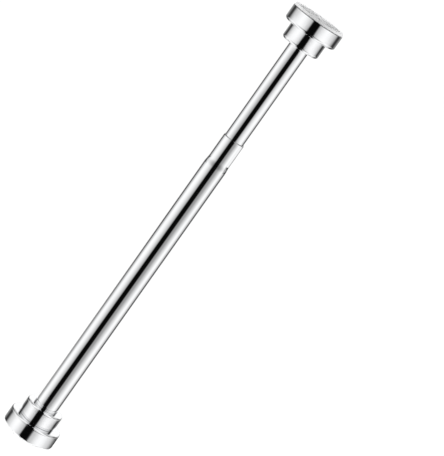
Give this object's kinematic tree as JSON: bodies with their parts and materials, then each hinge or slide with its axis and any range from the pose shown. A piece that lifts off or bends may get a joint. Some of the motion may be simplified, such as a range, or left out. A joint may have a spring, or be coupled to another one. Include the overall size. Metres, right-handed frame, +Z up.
{
  "type": "window security bar",
  "caption": "Chrome telescoping bar wedged across a window: a thin tube slides from a swaged outer tube and is twisted tight between soft treaded pads in stepped end cups.",
  "frame": {"origin": "centre of the outer tube end's pad, on its contact face", "axes": "+X along the bar towards the inner tube's end, +Z up, the bar level as when it is wedged across an opening"},
  "size_m": [0.4594, 0.051, 0.051],
  "materials": {
    "chrome_tube": "mirror polished chrome plate",
    "chrome_cup": "mirror polished chrome plate",
    "pad_white": "soft translucent white, satin",
    "core_nylon": "moulded natural nylon",
    "brake_nylon": "moulded natural nylon",
    "washer_acetal": "smooth black acetal",
    "drag_rubber": "matt black rubber",
    "screw_steel": "zinc plated steel",
    "spindle_steel": "oiled bright steel"
  },
  "bodies": {
    "outer": {"outer_tube": "chrome_tube", "outer_trim_ring": "chrome_cup", "outer_end_plug": "core_nylon", "outer_collar": "chrome_cup", "outer_flange": "chrome_cup", "outer_core": "core_nylon", "outer_pad": "pad_white", "outer_cap_screw": "screw_steel", "outer_cap_washer": "screw_steel"},
    "brake": {"brake_nut": "brake_nylon", "brake_sleeve": "brake_nylon", "brake_drag_ring": "drag_rubber"},
    "inner_cap": {"inner_collar": "chrome_cup", "inner_flange": "chrome_cup", "inner_core": "core_nylon", "inner_pad": "pad_white"},
    "inner": {"inner_tube": "chrome_tube", "inner_end_plug": "core_nylon", "thrust_washer": "washer_acetal", "swivel_screw": "screw_steel", "swivel_washer": "screw_steel", "tail_plug": "core_nylon", "spindle": "spindle_steel", "spindle_pin": "spindle_steel", "spindle_stop_nut": "spindle_steel"}
  },
  "joints": [
    {"name": "length_slide", "type": "slide", "parent": "outer", "child": "brake", "axis": [1, 0, 0], "range_m": [-0.0955, 0.056]},
    {"name": "screw_advance", "type": "slide", "parent": "brake", "child": "inner_cap", "axis": [1, 0, 0], "range_m": [0, 0.03]},
    {"name": "twist", "type": "hinge", "parent": "inner_cap", "child": "inner", "pos_m": [0.4594, 0, 0], "axis": [1, 0, 0], "range_deg": [0, 3600]}
  ],
  "couplings": [
    {"joint": "screw_advance", "follows": "twist", "m_per_rad": 0.00047746}
  ]
}
